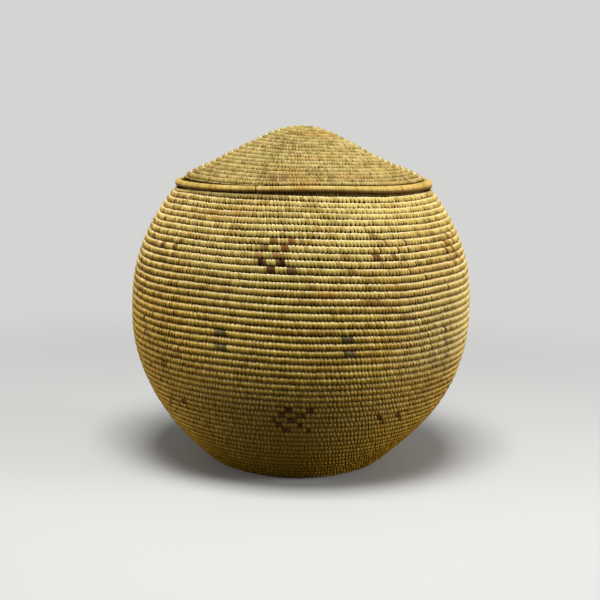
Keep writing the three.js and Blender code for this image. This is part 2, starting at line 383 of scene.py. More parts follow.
def stitch_marks(curve, sides, start, end, width, draw):
    """The turn counts at which one stitch meets the next."""
    w = np.linspace(start, end, int((end - start) * 400))
    low, high = sides(w)
    radius = np.maximum(curve.at((low + high) / 2, WALL / 2)[0], 1.5)
    length = np.r_[0, np.cumsum(2 * math.pi * (radius[1:] + radius[:-1]) / 2 * np.diff(w))]
    count = int(length[-1] / width)
    widths = np.clip(1 + 0.19 * draw.standard_normal(count), 0.6, 1.6)
    widths *= 1 + 0.10 * strand_waves(8, 8, 20, 160)(np.arange(count))
    marks = np.r_[0, np.cumsum(widths)]
    return np.interp(marks * length[-1] / marks[-1], length, w)


# %% [markdown]
# Three things make a ring: the size of the bundle, the pull of the strand and the slant of the
# stitch. The strand pulls a little all round (the slot), most at the low outer corner (the slit),
# in a notch at the top and, where the stitches stand apart, down the front as well.

# %% Bundle, pull and slant
def bundle_size(half, share, number, on_back, draw):
    """How far each ring reaches up and out from the middle of the coil."""
    count = len(number) // len(STITCH_RINGS)
    taller = by_rings(np.clip(0.12 + 0.12 * draw.standard_normal(count), -0.1, 0.5))
    prouder = by_rings(0.11 * draw.standard_normal(count))
    half_up = half * (1.03 + 0.03 * strand_waves(4, 10, 7, 60)(number))
    half_out = WALL / 2 * (0.4 + 0.6 * share) * (1 + 0.035 * strand_waves(3, 9, 25, 140)(number))
    return half_up + on_back * np.r_[taller, 0], half_out + on_back * np.r_[prouder, 0]


def strand_pull(share, on_back, gape, draw):
    """How far the strand pulls in each point of each ring."""
    slot = np.clip(0.26 + 0.14 * draw.standard_normal(len(on_back)), 0.05, 0.7)
    slit = np.clip(1.0 + 0.5 * draw.standard_normal(len(on_back)), 0.1, 2.2)
    in_valley = (1 - on_back ** (1 + 1.5 * gape)) * (0.35 + 0.65 * share)
    pull = slot[:, None] * (1 - TOUCHING) + slit[:, None] * LOW_SLIT + 0.8 * TOP_NOTCH
    pull = pull + (gape * slit)[:, None] * FRONT_SLIT
    return in_valley[:, None] * pull + 0.35 * share[:, None] * UNDERCUT


def pulled_in(up, out, pull):
    """The points moved towards the middle of the coil."""
    shrink = np.clip(1 - pull / np.maximum(np.hypot(up, out), 0.3), 0.3, 1)
    return up * shrink, out * shrink


def stitch_lean(angle, middle, number, draw):
    """How far a stitch slants: most on the right, high up."""
    lean = 0.14 + (0.1 + 0.22 * ramp(middle, 235, 30)) * near(angle, -25, 60)
    lean = lean + 0.1 * strand_waves(5, 7, 60, 400)(number)
    return lean + 0.05 * draw.standard_normal(len(number))


# %% Sew a coil
COURSE_SWAY, WALL_SWELL = 0.34, 0.35
FLOOR_CLEARANCE = 0.02


def sewn_coil(curve, angle_at, sides, marks, draw, slant_sign, sway, swell,
              pushed=level, raised=level, opened=level, slits=1):
    """All rings of a coil: points (rings, 9, 3) in metres, and each ring's stitch number and turn.
    slits is 1 where they are on the side that the coil comes from, and -1 on the other side.
    opened says how far the slits go on over the front of the coil."""
    count = len(marks) - 1
    number = np.r_[(np.arange(count)[:, None] + STITCH_RINGS).ravel(), count]
    w = np.interp(number, np.arange(count + 1), marks)
    on_back = np.r_[np.tile(STITCH_RISE, count), 0.0]
    angle = angle_at(w)
    low, high = sides(w)
    middle, half = (low + high) / 2, (high - low) / 2
    share = np.clip(half / (COURSE / 2), 0, 1)

    half_up, half_out = bundle_size(half, share, number, on_back, draw)
    pull = strand_pull(share, on_back, opened(angle, middle), draw)
    up, out = pulled_in(half_up[:, None] * ring_up * slits, half_out[:, None] * ring_out, pull)
    lean = stitch_lean(angle, middle, number, draw)

    shift = COURSE_SWAY * sway(angle, middle) * share + raised(angle, middle)
    distance = middle[:, None] + shift[:, None] + up
    inwards = pushed(angle, middle) - WALL_SWELL * swell(angle, middle)
    radius, height = curve.at(np.maximum(distance, 0), WALL / 2 - out + inwards[:, None])
    # Near the middle of a coil a leaning stitch would pass through the axis
    lean_arc = slant_sign * lean[:, None] * up * np.clip(radius / 12, 0, 1)
    turned = angle[:, None] + lean_arc / np.maximum(radius, 4)
    radius, height = np.maximum(radius, 0), np.maximum(height, FLOOR_CLEARANCE)
    points = np.stack([radius * np.cos(turned), radius * np.sin(turned), height], axis=-1)
    return points * MM, number, w


# %% [markdown]
# Each CAD run becomes one mesh, cut from the long coil at a valley. Neighbours share the ring
# where they meet, so no seam shows. Two things are written on the mesh for the material. A UV
# map named coil counts stitches in u and goes once round the coil in v, starting in the lower
# groove. A colour attribute says which colour a stitch was dyed or stained, and how strongly;
# on the top courses under the lid it holds a painted shadow of the lid's edge.

# %% A mesh from rings
def coil_mesh(name, points, number, stitch_tint):
    rings, around = points.shape[:2]
    place = np.arange(rings * around).reshape(rings, around)
    after = np.roll(place, -1, axis=1)
    quads = np.stack([place[:-1], after[:-1], after[1:], place[1:]], axis=-1).reshape(-1, 4)
    v = np.r_[ring_v, 1.0] if around == len(RING) else np.linspace(0, 1, around + 1)
    u0, u1 = number[:-1, None], number[1:, None]
    v0, v1 = v[None, :-1], v[None, 1:]
    flat_uv = [np.broadcast_arrays(u, w) for u, w in ((u0, v0), (u0, v1), (u1, v1), (u1, v0))]
    uv = np.stack([np.stack(pair, axis=-1) for pair in flat_uv], axis=2).reshape(-1, 4, 2)
    colours = np.repeat(stitch_tint, around, axis=0)

    corners = points.reshape(-1, 3)[quads]
    volume = np.einsum("ij,ij->i", corners[:, 0], np.cross(corners[:, 1], corners[:, 2])).sum()
    if volume < 0:
        quads, uv = quads[:, ::-1], uv[:, ::-1]
    ends = [place[0], place[-1][::-1]] if volume > 0 else [place[0][::-1], place[-1]]
    ends = [end[::-1].tolist() for end in ends]

    mesh = bpy.data.meshes.new(name)
    mesh.from_pydata(points.reshape(-1, 3).tolist(), [], quads.tolist() + ends)
    layer = mesh.uv_layers.new(name="coil")
    cap_loops = sum(len(end) for end in ends)
    cap_uv = np.tile([[number[0], 0.7]], (cap_loops, 1))
    layer.data.foreach_set("uv", np.vstack([uv.reshape(-1, 2), cap_uv]).astype(np.float32).ravel())
    paint = mesh.attributes.new("stitch_tint", "FLOAT_COLOR", "CORNER")
    loops = np.vstack([np.repeat(colours, 4, axis=0), np.zeros((cap_loops, 4))])
    paint.data.foreach_set("color", loops.astype(np.float32).ravel())
    mesh.shade_smooth()
    piece = bpy.data.objects.new(name, mesh)
    bpy.context.collection.objects.link(piece)
    return piece


def plain_dye(number):
    return np.zeros((len(number) - 1, 4))


def stitch_middles(w):
    """The turn counts at the middle of each stitch, from those of its rings."""
    valleys = w[::len(STITCH_RINGS)]
    return (valleys[:-1] + valleys[1:]) / 2


# %% [markdown]
# The dyed stitches
#
# Three bands of small figures run round the body, nine figures to a band, forty degrees apart.
# High up each is a double chevron that points left, five courses tall: two blocks of three
# stitches on every course, the second a little to the right of the first. Low down it is the
# same in dark brown. In between stand pairs of grey-green blocks, one above the other with a
# plain course between. The dyes have faded unevenly, and some figures are nearly gone.

# %% Figures on the body
FIGURES = 9
REPEAT = 360 / FIGURES
RUST, RED_BROWN = (0.22, 0.068, 0.014), (0.19, 0.050, 0.018)
PINK, MAROON, DARK = (0.42, 0.17, 0.09), (0.045, 0.008, 0.002), (0.060, 0.012, 0.006)
BUFF, FAINT_BROWN = (0.60, 0.36, 0.13), (0.20, 0.075, 0.014)
SLATE, EARTH = (0.062, 0.064, 0.046), (0.07, 0.020, 0.004)

# For each row of a figure: its course, then where its two blocks start and how wide they are, in
# degrees from the figure's own corner
HIGH_ROWS = [
    (52.57, 4.9, 2.5, 11.9, 2.5), (51.61, 2.2, 2.1, 9.1, 2.3), (50.52, 0, 2.5, 6.1, 2.4),
    (49.50, 2.5, 2.5, 8.4, 2.7), (48.48, 4.6, 3.0, 11.5, 2.8),
]
LOW_ROWS = [
    (29.03, 4.6, 2.5, 11.5, 3.0), (28.28, 2.3, 2.0, 8.4, 3.0), (27.42, 0, 2.0, 6.0, 2.0),
    (26.35, 1.8, 2.4, 8.6, 2.7), (25.37, 4.0, 2.4, 11.6, 2.7),
]

# The states of a figure: the colour of the lines at its blocks' ends and their width in rings,
# then each row's dye and how much of it is left
STRONG = None, 0, [(RUST, 0.85), (RED_BROWN, 0.85), (PINK, 0.75), (MAROON, 1), (DARK, 0.95)]
PALE = MAROON, 1, [(BUFF, 0.85), (BUFF, 0.7), (RED_BROWN, 0.9), (BUFF, 0.8), (BUFF, 0.85)]
EDGED = RUST, 3, [(BUFF, amount) for amount in (0.45, 0.45, 0.3, 0.45, 0.45)]
FADED = None, 0, [(FAINT_BROWN, 0.1), (FAINT_BROWN, 0.35), (FAINT_BROWN, 0.9), (BUFF, 0.6), (BUFF, 0.6)]
FULL = None, 0, [(EARTH, 0.95)] * 5
WORN = None, 0, [(EARTH, amount) for amount in (0.12, 0.2, 0.95, 0.55, 0.1)]
LAST_BITS = None, 0, [(EARTH, amount) for amount in (0, 0.9, 0.45, 0, 0)]

# For each figure: its corner, how much further right its second blocks are, and its state
HIGH_FIGURES = [
    (-106, 0, STRONG), (-66.3, 1.2, PALE), (-31.5, 0.6, EDGED), (14, 0, STRONG), (54, 1, FADED),
    (94, 1, PALE), (134, 0, STRONG), (174, 0.5, EDGED), (-147.9, 1.9, FADED),
]
LOW_FIGURES = [
    (-99, 0, FULL), (-60.1, 2.4, WORN), (-19, 1, FULL), (21, 0, WORN), (61, 1, FULL),
    (101, 0, FULL), (141, 2, WORN), (181, 0, FULL), (-145.8, 0.2, LAST_BITS),
]

# The grey-green pairs: the corner of the first, the width of a block and how much further right
# the last pair is. Then, for the upper and the lower block, the course and the shift
PAIR_CORNER, PAIR_WIDTH, LAST_PAIR_SHIFT = -116.6, 3.2, 2.4
PAIR_ROWS = [(39.55, 0), (37.55, 0.4)]

# Single stains and dyed stitches, and painted shadows of the lid's edge: course, start and
# width in degrees, colour, strength
STAINS_AND_LID_SHADOWS = [
    (53.5, -66.8, 2.2, FAINT_BROWN, 0.7), (53.5, -46.2, 2.0, FAINT_BROWN, 0.5),
    (50.6, -77.9, 3.7, (0.30, 0.14, 0.03), 0.6), (48.55, -75.0, 2.8, FAINT_BROWN, 0.7),
    (44.5, -71.6, 7.6, FAINT_BROWN, 0.65), (42.4, -57.8, 4.3, (0.42, 0.23, 0.10), 0.6),
    (52.57, -91.2, 2.0, SLATE, 0.45), (45.6, -86.0, 5.5, (0.55, 0.27, 0.05), 0.6),
    (33.3, -141.7, 2.5, FAINT_BROWN, 0.7), (37.0, -110.0, 40.0, (0.20, 0.10, 0.015), 0.35),
    (40.5, -98.0, 22.0, (0.22, 0.12, 0.02), 0.35), (51.8, -137.3, 2.2, FAINT_BROWN, 0.4),
    # The last two are painted shadow of the lid's edge on the top courses, at the front and front left.
    (59.6, -148.0, 52.0, (0.20, 0.13, 0.04), 0.6), (60.5, -130.0, 95.0, (0.05, 0.03, 0.01), 0.8),
]
print(len(HIGH_FIGURES) + len(LOW_FIGURES), "figures, then", FIGURES, "pairs")


# %% Dye the body, and paint the lid's shadow on its top courses
def course_at(row, angle):
    """The turn count on the body nearest to that row of courses, at that angle in degrees."""
    w = HIGH_TURN + (BODY_HIGH_ANGLE - angle) / 360 + np.arange(-60, 3)
    return w[np.argmin(np.abs(body_groove(w + 0.5) - row))]


def tint_block(w, stitch_tint, row, corner, shift, width, colour, amount, edge=None, rings=1):
    """Tints the stitches of one block with a dye, a stain or a painted shadow: shift and width
    in degrees from the figure's own corner.
    edge is the colour of the dark lines at its ends, if it has them, and rings their width."""
    start = course_at(row, corner) - shift / 360
    middle = stitch_middles(w)
    chosen = np.flatnonzero(by_rings((middle <= start) & (middle > start - width / 360)))
    stitch_tint[chosen] = (*colour, amount)
    if edge and len(chosen):
        stitch_tint[[*chosen[:rings], *chosen[-rings:], chosen[-1] + 1]] = (*edge, 0.95)


def dye_figure(w, stitch_tint, rows, corner, spread, state):
    edge, rings, dyes = state
    for (row, *blocks), (colour, amount) in zip(rows, dyes):
        for (shift, width), more in ((blocks[:2], 0), (blocks[2:], spread)):
            tint_block(w, stitch_tint, row, corner, shift + more, width, colour, amount, edge, rings)


def body_tints(number, w):
    stitch_tint = plain_dye(number)
    for rows, figures in ((HIGH_ROWS, HIGH_FIGURES), (LOW_ROWS, LOW_FIGURES)):
        for corner, spread, state in figures:
            dye_figure(w, stitch_tint, rows, corner, spread, state)
    for pair in range(FIGURES):
        corner, faded = PAIR_CORNER + REPEAT * pair, pair % 3 == 2
        colour, amount, edge = (BUFF, 0.3, SLATE) if faded else (SLATE, 0.9, None)
        for row, shift in PAIR_ROWS:
            shift = shift + LAST_PAIR_SHIFT * (pair == FIGURES - 1)
            tint_block(w, stitch_tint, row, corner, shift, PAIR_WIDTH, colour, amount, edge, 2)
    for row, corner, width, colour, amount in STAINS_AND_LID_SHADOWS:
        tint_block(w, stitch_tint, row, corner, 0, width, colour, amount)
    return stitch_tint


# %% Make the body's coil
def gaping(angle, distance):
    """Everywhere but in front the stitches stand further apart, most of all low down."""
    low_down = np.clip((190 - distance) / 80, 0, 1)
    return (1.0 + 0.5 * low_down) * (1 - near(angle, -86, 36))


body_draw = np.random.default_rng(11)
BODY_STITCH = 2.6
body_marks = stitch_marks(wall, body_sides, COIL_START, BODY_END, BODY_STITCH, body_draw)
body_points, body_number, body_w = sewn_coil(
    wall, body_angle, body_sides, body_marks, body_draw, -1,
    sway=waves(21, 14, 9, 0.05), swell=waves(22, 10, 5, 0.035), pushed=sagged, raised=settled,
    opened=gaping,
)
body_tint = body_tints(body_number, body_w)
print(len(body_marks) - 1, "stitches on the body")


# %% Cut it into the runs of the CAD model
def cut_runs(points, number, w, stitch_tint, runs, end):
    pieces, first = [], 0
    rings = len(STITCH_RINGS)
    for name, until, nodes in runs:
        last = len(w) - 1
        if until is not None:
            last = rings * int(np.argmin(np.abs(w[::rings] - on_step(until, end))))
        piece = coil_mesh(name, points[first:last + 1], number[first:last + 1], stitch_tint[first:last])
        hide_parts(*nodes)
        pieces.append(piece)
        print(f"{name}: {(last - first) // rings} stitches, {len(piece.data.polygons) * 2} triangles")
        first = last
    return pieces


BODY_RUNS = [
    ("sewn_base", 11.5, ["base_start_knot", "base_coil"]),
    ("sewn_heel", 21, ["heel_coil"]),
    ("sewn_lower_wall", 25.5, ["lower_wall_coil"]),
    ("sewn_lower_wall_top", 30.5, ["lower_wall_coil"]),
    ("sewn_belly", 35, ["belly_coil"]),
    ("sewn_belly_top", 40, ["belly_coil"]),
    ("sewn_upper_wall", 44.5, ["upper_wall_coil"]),
    ("sewn_upper_wall_top", 49.5, ["upper_wall_coil"]),
    ("sewn_shoulder", BODY_END - 2, ["shoulder_coil"]),
    ("sewn_mouth", None, ["mouth_coil"]),
]
body_pieces = cut_runs(body_points, body_number, body_w, body_tint, BODY_RUNS, BODY_END)

# %% [markdown]
# The lid is the same work, wound the other way. Its figures have nearly faded: pairs of soft
# purple-brown blocks, two courses tall, sixteen of them round the lid. It sits with its peak in
# its place, but its edge is a little off level and has sunk where the mouth below has given way.
# Its slope is fuller at the sides and stands up a little just inside the edge.

# %% Make the lid's coil
lid_draw = np.random.default_rng(12)
LID_STITCH = 2.2
lid_marks = stitch_marks(lid_curve, lid_sides, COIL_START, LID_END, LID_STITCH, lid_draw)
lid_points, lid_number, lid_w = sewn_coil(
    lid_curve, lid_angle, lid_sides, lid_marks, lid_draw, 1,
    sway=waves(31, 12, 7, 0.06), swell=waves(32, 8, 4, 0.04), slits=-1,
)
print(len(lid_marks) - 1, "stitches on the lid")

# %% Seat the lid
EDGE_TILT, HIGH_SIDE, EDGE_DROP = 1.43, -24, 1.08
# Where the edge has sunk further: angle and width in degrees, depth
EDGE_DIPS = [(-48, 22, 0.7), (-135, 26, 0.6), (-22, 42, 0.8), (-84, 24, -0.9)]
# Where the slope swells: angle and width in degrees, radius and width, height
SLOPE_SWELLS = [
    (180, 60, 22, 10, 0.8), (-90, 45, 79, 12, -1.1), (0, 50, 83, 13, 2.3), (180, 50, 83, 13, 1.3),
]


def seated(points):
    x, y, z = np.moveaxis(points / MM, -1, 0)
    angle, radius = np.arctan2(y, x), np.hypot(x, y)
    drop = sum((deep * near(angle, centre, width) for centre, width, deep in EDGE_DIPS), EDGE_DROP)
    tilt = EDGE_TILT * np.cos(angle - math.radians(HIGH_SIDE))
    z = z + (tilt - drop) * np.clip(radius / edge_radius, 0, 1.04) ** 3
    z = z - 1.0 * np.cos(angle) * bell(radius, 48, 24)
    for centre, spread, middle, width, height in SLOPE_SWELLS:
        z = z + height * near(angle, centre, spread) * bell(radius, middle, width)
    return np.stack([x, y, z], axis=-1) * MM


# %% Dye the lid and cut it
PURPLE = (0.20, 0.115, 0.075)
LID_FIGURES, LID_CORNER, LID_REPEAT, LID_BLOCK, LID_GAP = 16, -107, 22.8, 3.2, 5.4
LID_AMOUNTS = (0.7, 0.55, 0.15, 0.3, 0.1, 0.4, 0.25, 0.15)
# Rounds from the edge, and how far each row of blocks is shifted, in degrees
LID_ROWS = [(2.65, 0), (1.65, 0.6)]


def lid_dyes(number, w):
    stitch_tint = plain_dye(number)
    middle = stitch_middles(w)
    for figure in range(LID_FIGURES):
        amount = LID_AMOUNTS[figure % len(LID_AMOUNTS)]
        for rounds, slide in LID_ROWS:
            for shift in (0, LID_GAP):
                start = LID_CORNER + LID_REPEAT * figure + slide + shift
                turn = LID_END + (start - LID_SEAM_ANGLE) / 360
                turn += round(LID_END - rounds - turn)
                chosen = (middle >= turn) & (middle < turn + LID_BLOCK / 360)
                stitch_tint[by_rings(chosen)] = (*PURPLE, amount)
    return stitch_tint


LID_RUNS = [
    ("sewn_lid_crown", 9.5 * COURSE / LID_COURSE, ["lid_start_knot", "lid_crown_coil"]),
    ("sewn_lid_slope", None, ["lid_slope_coil"]),
]
lid_dye = lid_dyes(lid_number, lid_w)
lid_pieces = cut_runs(seated(lid_points), lid_number, lid_w, lid_dye, LID_RUNS, LID_END)

# %% Make the collar, two rounds that stand inside the mouth
collar_draw = np.random.default_rng(13)
collar_marks = stitch_marks(collar_curve, collar_sides, 0, COLLAR_ROUNDS, LID_STITCH, collar_draw)
collar_points, collar_number, _ = sewn_coil(
    collar_curve, collar_angle, collar_sides, collar_marks, collar_draw, 1,
    sway=waves(41, 6, 5, 0.05), swell=waves(42, 6, 4, 0.05),
)
collar = coil_mesh("sewn_lid_collar", seated(collar_points), collar_number, plain_dye(collar_number))
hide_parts("lid_collar_coil")
print(len(collar_marks) - 1, "stitches on the collar")

# %% [markdown]
# The lid's edge is a thicker bundle, sewn over with finer stitches. Its two ends meet at the
# front, a little to the left: the end that runs to the right is a pale rounded tip. On the left
# and in the middle of the front the bundle is thinner.

# %% Make the lid's edge
EDGE_STITCH, EDGE_RINGS, EDGE_AROUND = 1.85, 3, 14
TIP_ANGLE, TIP_LENGTH, PALE_TIP = -110.3, 1.1, (0.86, 0.72, 0.42, 0.3)
THINNER_LEFT, THINNER_FRONT = 0.8, 0.65
# On the left the edge also stands further out and lower
LEFT_OUT, LEFT_DOWN = 1.1, 0.6
edge_draw = np.random.default_rng(14)
edge_count = int(2 * math.pi * edge_radius / EDGE_STITCH)
edge_ring = np.linspace(-math.pi / 2, 1.5 * math.pi, EDGE_AROUND, endpoint=False)


def along_edge():
    """For each ring of the edge: its stitch number and its share of the way round."""
    widths = np.clip(1 + 0.15 * edge_draw.standard_normal(edge_count), 0.7, 1.5)
    marks = np.r_[0, np.cumsum(widths)] / widths.sum()
    number = np.arange(EDGE_RINGS * edge_count + 1) / EDGE_RINGS
    return number, np.interp(number, np.arange(edge_count + 1), marks)


def edge_size(number, share, angle):
    """How far each point of each ring is from the middle of the edge's bundle."""
    arc = share * 2 * math.pi * edge_radius
    from_end = np.minimum(arc, arc[-1] - arc)
    tip = np.sqrt(np.clip(1 - (1 - np.clip(from_end / TIP_LENGTH, 0, 1)) ** 2, 0.3, 1))
    in_valley = np.where(np.arange(len(number)) % EDGE_RINGS == 0, 1.0, 0.0)
    size = EDGE_RADIUS * tip * (1 + 0.03 * strand_waves(6, 8, 12, 90)(number))
    size = size - THINNER_LEFT * near(angle, 180, 60) - THINNER_FRONT * near(angle, -88, 45)
    size = size - in_valley * np.clip(0.22 + 0.1 * edge_draw.standard_normal(len(number)), 0.05, 0.5)
    deep = in_valley * np.clip(0.45 + 0.2 * edge_draw.standard_normal(len(number)), 0, 1.0)
    low_side = np.clip(-np.sin(edge_ring - 0.5), 0, 1)
    return np.maximum(size[:, None] - deep[:, None] * low_side, 0.15)


def edge_coil():
    number, share = along_edge()
    half_seam = SEAM_GAP / edge_radius
    angle = math.radians(TIP_ANGLE) + 2 * math.pi * share + half_seam * (1 - 2 * share)
    reach = edge_size(number, share, angle)
    left = near(angle, 180, 60)
    lift = 0.15 * waves(51, 6, 4, 0)(angle, 0) - LEFT_DOWN * left
    r = edge_radius + LEFT_OUT * left[:, None] + reach * np.cos(edge_ring)
    z = edge_height + reach * np.sin(edge_ring) + lift[:, None]
    turned = angle[:, None] - 0.30 * reach * np.sin(edge_ring) / edge_radius
    return np.stack([r * np.cos(turned), r * np.sin(turned), z], axis=-1) * MM, number


edge_points, edge_number = edge_coil()
edge_dye = plain_dye(edge_number)
edge_dye[:3 * EDGE_RINGS] = PALE_TIP
lid_edge = coil_mesh("sewn_lid_edge", seated(edge_points), edge_number, edge_dye)
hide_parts("lid_edge_coil")
print(edge_count, "stitches on the lid's edge")

# %% [markdown]
# Writing materials as sums
#
# A material is a web of nodes, and most of them are Math nodes. They are easier to read as
# sums. The small class below holds a socket and adds a Math node whenever it is added or
# multiplied, so 1 - mask * 0.5 can be written as it is said.

# %% Sockets that can be calculated with
class Value:
    def __init__(self, board, socket):
        self.board, self.socket = board, socket

    def maths(self, operation, *others):
        inputs = dict(enumerate((self,) + others))
        return self.board.add("ShaderNodeMath", inputs, operation=operation)

    def output(self, name):
        return Value(self.board, self.socket.node.outputs[name])

    def __add__(self, other):
        return self.maths("ADD", other)

    def __sub__(self, other):
        return self.maths("SUBTRACT", other)

    def __rsub__(self, other):
        return self.board.add("ShaderNodeMath", {0: other, 1: self}, operation="SUBTRACT")

    def __mul__(self, other):
        return self.maths("MULTIPLY", other)

    __radd__ = __add__
    __rmul__ = __mul__


# %% A board of nodes
class Board:
    """The nodes of one material or of the world. shader is the one that is there at first."""

    def __init__(self, owner, shader="Principled BSDF"):
        owner.use_nodes = True
        self.owner, self.tree = owner, owner.node_tree
        self.shader = self.tree.nodes[shader]

    def add(self, kind, inputs=None, output=0, **settings):
        node = self.tree.nodes.new(kind)
        for setting, value in settings.items():
            setattr(node, setting, value)
        for socket, value in (inputs or {}).items():
            self.join(value, node.inputs[socket])
        return Value(self, node.outputs[output])

    def join(self, value, socket):
        if isinstance(value, Value):
            self.tree.links.new(value.socket, socket)
        else:
            socket.default_value = value

    def give(self, name, value):
        """Gives the shader's own socket of that name a value or a link."""
        self.join(value, self.shader.inputs[name])

    def parts(self, vector):
        x = self.add("ShaderNodeSeparateXYZ", {0: vector})
        return x, x.output("Y"), x.output("Z")

    def mix(self, amount, first, second, blend="MIX"):
        """Colours, from first at 0 to second at 1."""
        first, second = ((*c, 1) if isinstance(c, tuple) else c for c in (first, second))
        settings = {"data_type": "RGBA", "blend_type": blend, "clamp_factor": True}
        return self.add("ShaderNodeMix", {0: amount, 6: first, 7: second}, output=2, **settings)

    def ease(self, value, start, end, low=0.0, high=1.0):
        """Goes smoothly from low to high while value goes from start to end."""
        inputs = {0: value, 1: start, 2: end, 3: low, 4: high}
        return self.add("ShaderNodeMapRange", inputs, interpolation_type="SMOOTHSTEP")

    def noise(self, vector, scale, detail=2.0, rough=0.5):
        inputs = {"Vector": vector, "Scale": scale, "Detail": detail, "Roughness": rough}
        return self.add("ShaderNodeTexNoise", inputs, output="Fac")

    def random(self, w):
        return self.add("ShaderNodeTexWhiteNoise", {"W": w}, output="Value", noise_dimensions="1D")

    def vector(self, x, y, z):
        return self.add("ShaderNodeCombineXYZ", {0: x, 1: y, 2: z})


# %% [markdown]
# The straw
#
# A strand is a flat split grass stem, dull and pale gold to olive. A sewer uses one for some ten
# stitches and then takes the next, so the tone changes in short lengths along a course. Painted
# shade darkens the valleys, most of all the lower slits, and the under half of each round, where
# dust and the dark bundle also show, and painted light pales the top of each round. The straw is
# darker and browner towards the foot, and the lid has bleached to a greyer straw. All this is
# worked out from the stitch count, the way round the coil and the place on the basket, so it
# stays on the straw from every side.

# %% Where a point lies
class Place:
    """Where a point of the surface lies on its stitch, on the coil and on the basket."""

    def __init__(self, board):
        u, self.v, _ = board.parts(board.add("ShaderNodeUVMap", output="UV", uv_map="coil"))
        self.stitch, self.part = u.maths("FLOOR"), u.maths("FRACT")
        self.chance, self.chance_2 = board.random(self.stitch), board.random(self.stitch + 0.37)
        self.object = board.add("ShaderNodeTexCoord", output="Object")
        self.x, self.y, self.z = board.parts(self.object)
        # 0 on the back of a stitch and 1 in the valleys beside it
        self.from_back = (self.part - 0.5).maths("ABSOLUTE") * 2
        # 0 in the lower groove, 0.25 half way up the coil and 0.5 in the upper groove
        self.rise = self.v.maths("MINIMUM", 1 - self.v)
        self.under = board.ease(self.rise, 0.31, 0.09)
        self.sides = self.x.maths("ABSOLUTE")
        self.beside = board.ease(self.sides, 0.05, 0.10)
        self.low_down = board.ease(self.z + self.x.maths("MAXIMUM", 0.0) * 0.15, 0.190, 0.085)
        self.patch = board.noise(self.object, 9.0, 3.0, 0.6)
        fibres = board.vector(self.part * 10 + self.chance * 40, self.v * 3 + self.chance_2 * 30, 0.0)
        self.fibre = board.noise(fibres, 1.0, 3.0, 0.65)


# %% The strands
OLIVE, AMBER = (0.47, 0.43, 0.11), (0.58, 0.31, 0.06)
BROWN, MOSS = (0.52, 0.265, 0.045), (0.40, 0.36, 0.075)


def strand_colour(board, at, light, deep):
    """One tone for a strand of some ten stitches, one for a few and one for each, and stains."""
    lengths = board.noise(board.vector(at.stitch * 0.045, 0.0, 0.0), 1.0) * 3
    which = (at.stitch * 0.12 + lengths).maths("FLOOR")
    strand, hue = board.random(which), board.random(which + 0.5)
    few = board.random((at.stitch * 0.45 + lengths * 2).maths("FLOOR") + 0.2)
    tone = (strand - 0.5) * 0.5 + (few - 0.5) * 0.5 + board.ease(at.patch, 0.3, 0.7, -0.2, 0.2)
    tone = tone + (at.chance - 0.5) * 1.0 + (at.fibre - 0.5) * 0.9 + 0.38
    colour = board.mix(tone, light, deep)
    colour = board.mix(board.ease(hue, 0.55, 0.95, 0.0, 0.28), colour, OLIVE)
    colour = board.mix(board.ease(hue, 0.20, 0.02, 0.0, 0.22), colour, AMBER)
    stain = board.noise(board.vector(at.x * 0.6, at.y * 0.6, at.z * 2.2), 22.0, 2.0, 0.5)
    colour = board.mix(board.ease(stain, 0.56, 0.74, 0.0, 0.5), colour, BROWN)
    return board.mix(board.ease(stain, 0.42, 0.28, 0.0, 0.35), colour, MOSS)


# %% The basket's age, and painted shade low in front and behind
FOOT, DARK_BROWN_ABOVE = (0.34, 0.19, 0.004), (0.10, 0.07, 0.02)
PALE_CREAM, GOLDEN, PAINTED_LOW_SHADE = (0.95, 0.80, 0.45), (0.95, 0.60, 0.13), (0.09, 0.055, 0.003)


def aged_and_shaded(board, at, colour, darker_above):
    """Bright above, golden at the belly and brown at the foot. The right side of the belly is paler,
    the left is warmer, and the lower front and back are darkened with painted shade."""
    z = at.z
    # Darker and warmer low down.
    colour = board.mix(at.low_down * 0.8, colour, (0.87, 0.74, 0.40), "MULTIPLY")
    old = board.ease(z, 0.115, 0.035, 0.0, 0.65) + board.ease(z, 0.06, 0.0, 0.0, 0.3)
    colour = board.mix(old + (at.patch - 0.5) * 0.4 * at.low_down, colour, FOOT)
    colour = board.mix(board.ease(at.sides, 0.03, 0.12), colour, (1.0, 0.91, 0.80), "MULTIPLY")
    # From the belly up a dark brown is mixed in a little.
    colour = board.mix(board.ease(z, 0.118, 0.150, 0.0, darker_above), colour, DARK_BROWN_ABOVE)
    # The right of the belly is mixed towards a pale cream.
    right = board.ease(at.x, 0.05, 0.10) * board.ease(z, 0.075, 0.105) * board.ease(z, 0.17, 0.13)
    colour = board.mix(right * 0.4, colour, PALE_CREAM)
    left = board.ease(at.x, -0.05, -0.10) * board.ease(z, 0.16, 0.11)
    colour = board.mix(left * 0.3, colour, GOLDEN)
    # Painted shade: the lower front and back, away from the sides, are darkened.
    lower = board.ease(at.sides, 0.085, 0.03) * board.ease(z, 0.095, 0.06)
    return board.mix(lower * 0.4, colour, PAINTED_LOW_SHADE)


def tinted(board, at, colour):
    """The dyes and stains written on the mesh, worn along the fibres, and on the top courses the
    painted shadow of the lid's edge.
    """
    stitch_tint = board.add("ShaderNodeAttribute", output="Color", attribute_name="stitch_tint")
    kept = board.ease(at.fibre + (at.chance_2 - 0.5) * 0.5, 0.35, 0.75, 1.0, 0.75)
    return board.mix(stitch_tint.output("Alpha") * kept, colour, stitch_tint)


# %% Painted shade, grease and dirt
# The pale top of each round is wear with painted light, the brown under the lid's edge is handling with
# painted shade, and the near black in slits and grooves is painted shade with dust.
PALE_TOP, HANDLED_AND_SHADED, SHADE_AND_DUST = (0.92, 0.81, 0.51), (0.085, 0.035, 0.003), (0.022, 0.009, 0.001)


